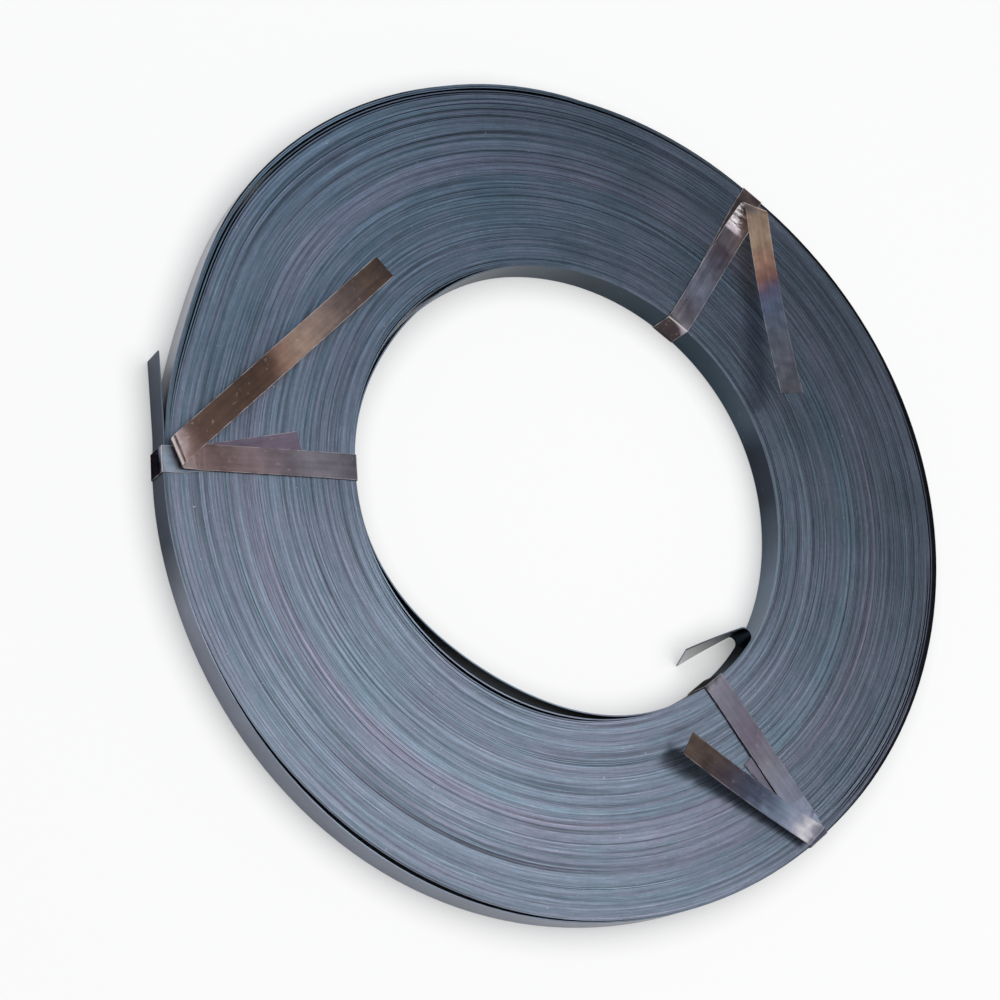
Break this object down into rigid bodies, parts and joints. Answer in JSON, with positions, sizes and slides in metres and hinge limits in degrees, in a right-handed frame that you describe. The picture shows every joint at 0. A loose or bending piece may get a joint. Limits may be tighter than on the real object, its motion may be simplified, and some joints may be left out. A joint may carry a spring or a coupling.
{
  "type": "coil of steel strapping",
  "caption": "Flat coil of blued steel strapping wound turn on turn, held by folded steel ties, with its outer and inner strap ends standing free.",
  "frame": {"origin": "on the coil's axis, at the floor that it lies on, under the ties", "axes": "+Z along the coil's axis to the face with the folded tie ends, -X to the tie over the strap's outer end"},
  "size_m": [0.5171, 0.5167, 0.0436],
  "materials": {
    "blued_strap": "heat-blued strap edges with fine bright lines",
    "tie_bronze": "satin, temper-coloured bronze brown",
    "tie_straw": "satin, temper-coloured from straw through purple to blue",
    "tie_plum": "satin, temper-coloured plum and steel blue"
  },
  "bodies": {
    "root": {"coil": "blued_strap", "tie_first": "tie_bronze", "tie_second": "tie_straw", "tie_third": "tie_plum"}
  },
  "joints": []
}
